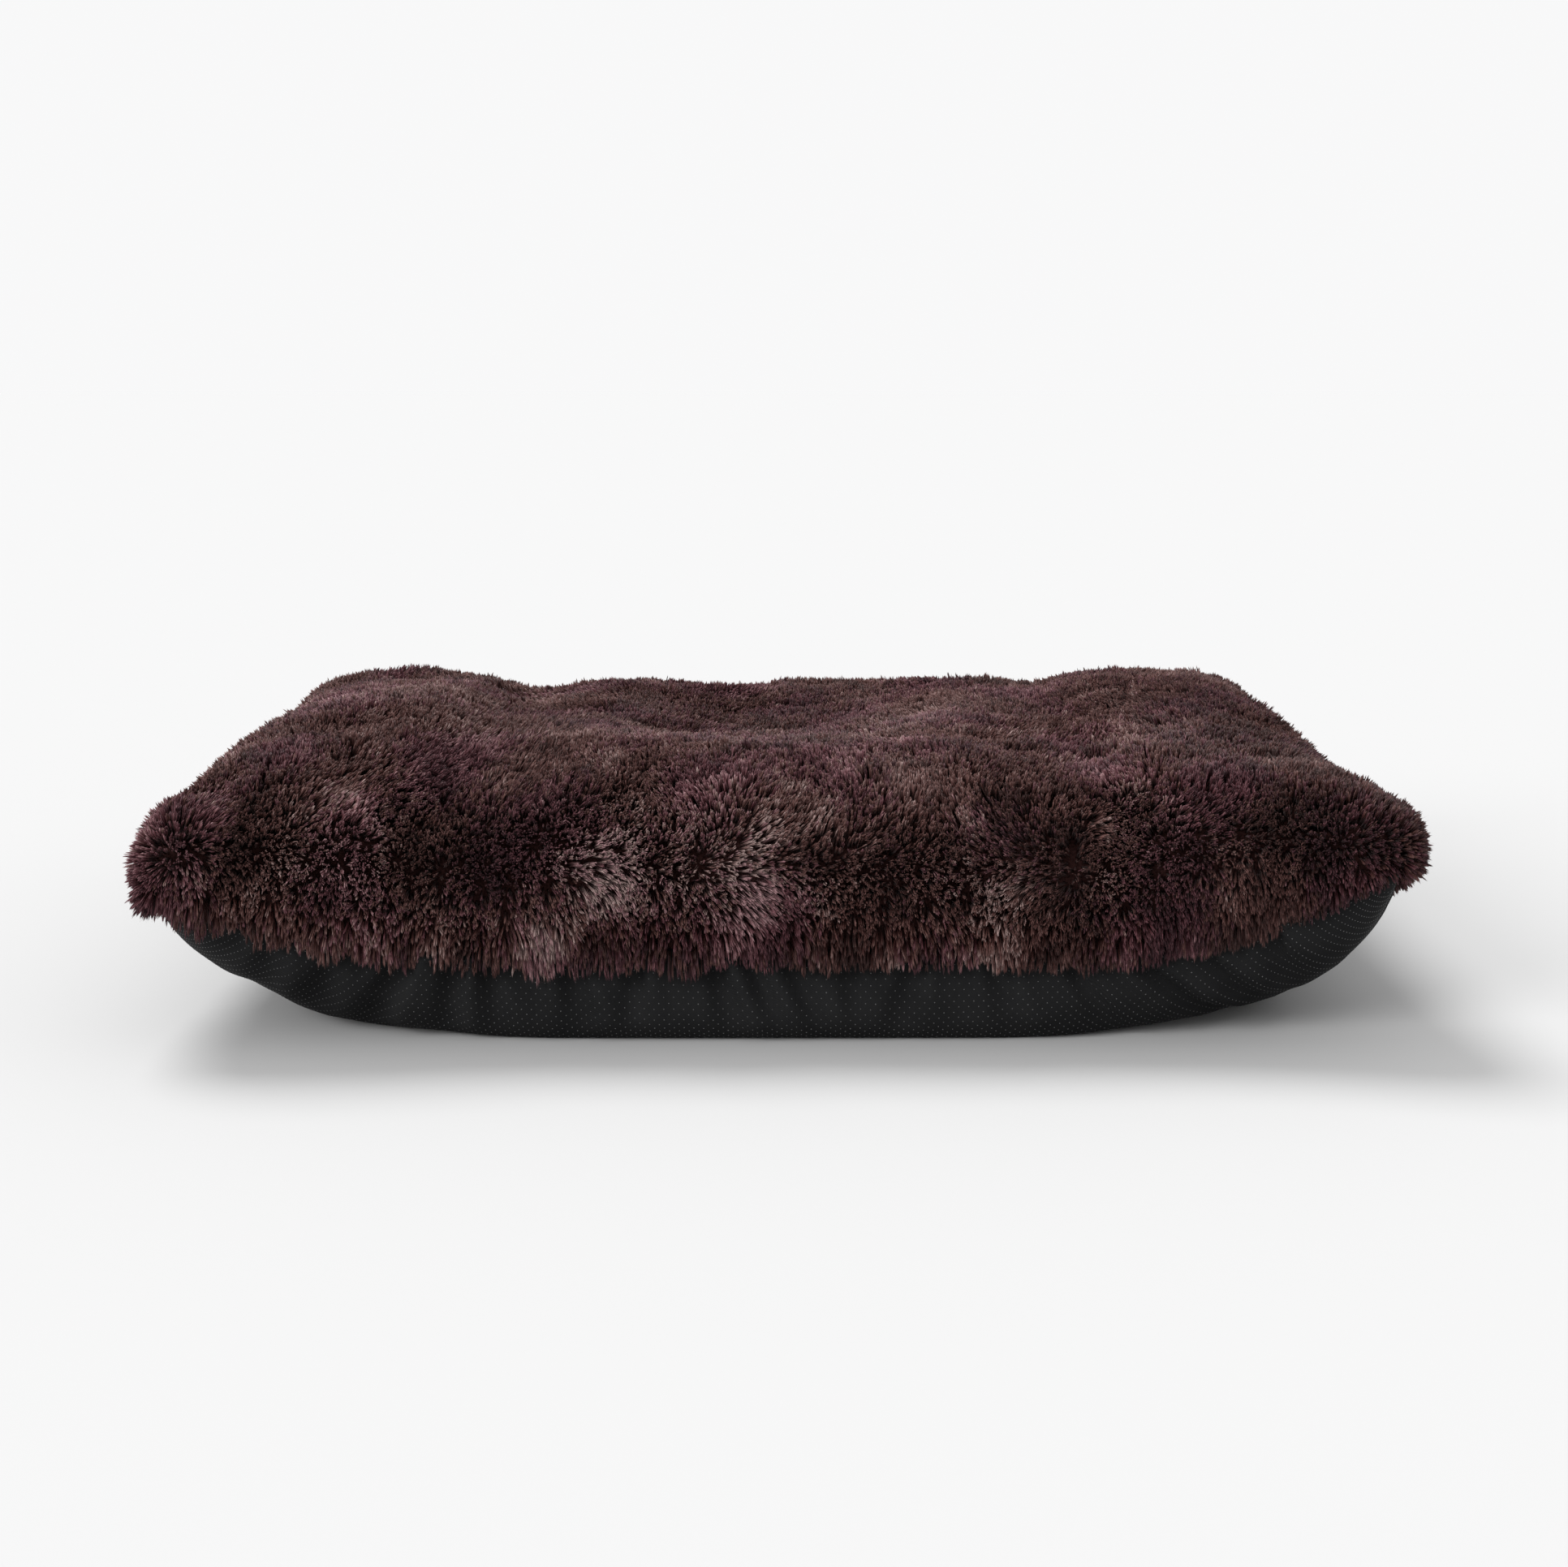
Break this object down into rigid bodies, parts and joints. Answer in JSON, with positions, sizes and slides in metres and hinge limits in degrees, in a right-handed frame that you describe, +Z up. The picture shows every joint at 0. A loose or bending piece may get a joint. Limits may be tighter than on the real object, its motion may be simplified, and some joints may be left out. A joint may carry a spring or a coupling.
{
  "type": "pet cushion bed",
  "caption": "Large rectangular pet cushion bed with a deep-pile top, a dotted non-slip base, a zipped removable cover and a fibre-filled inner cushion.",
  "frame": {"origin": "on the floor, under the middle of the bed", "axes": "+X to the right along the long side, +Y to the back where the zip is, +Z up"},
  "size_m": [1.1862, 0.8782, 0.2845],
  "materials": {
    "pile": "deep soft acrylic pile in dark reddish brown",
    "backing": "knitted pile backing",
    "base_cloth": "matt black woven cloth",
    "grip_dots": "small grey non-slip dots",
    "zip_tape": "black woven tape",
    "zip_coil": "black nylon coil",
    "zip_metal": "satin nickel plate",
    "label": "white satin ribbon, blank",
    "liner": "undyed plain-weave cotton",
    "fibre": "white hollow polyester fibre"
  },
  "bodies": {
    "bed": {"fur_pile": "pile", "fur_backing": "backing", "base_panel": "base_cloth", "cover_seam_allowance": "base_cloth", "zip_tape_upper": "zip_tape", "zip_tape_lower": "zip_tape", "zip_coil_upper": "zip_coil", "zip_coil_lower": "zip_coil", "zip_top_stops": "zip_metal", "zip_bottom_stop": "zip_metal", "care_label": "label", "liner_top": "liner", "liner_bottom": "liner", "baffle_left": "liner", "baffle_right": "liner", "fill_left": "fibre", "fill_centre": "fibre", "fill_right": "fibre"},
    "slider": {"zip_slider": "zip_metal"},
    "pull": {"zip_pull_tab": "zip_metal"}
  },
  "joints": [
    {"name": "zip_slide", "type": "slide", "parent": "bed", "child": "slider", "axis": [-1, 0, 0], "range_m": [0, 0.6808]},
    {"name": "pull_swing", "type": "hinge", "parent": "slider", "child": "pull", "pos_m": [0.3416, 0.40205, 0.09], "axis": [0, 0, -1], "range_deg": [0, 175]}
  ]
}
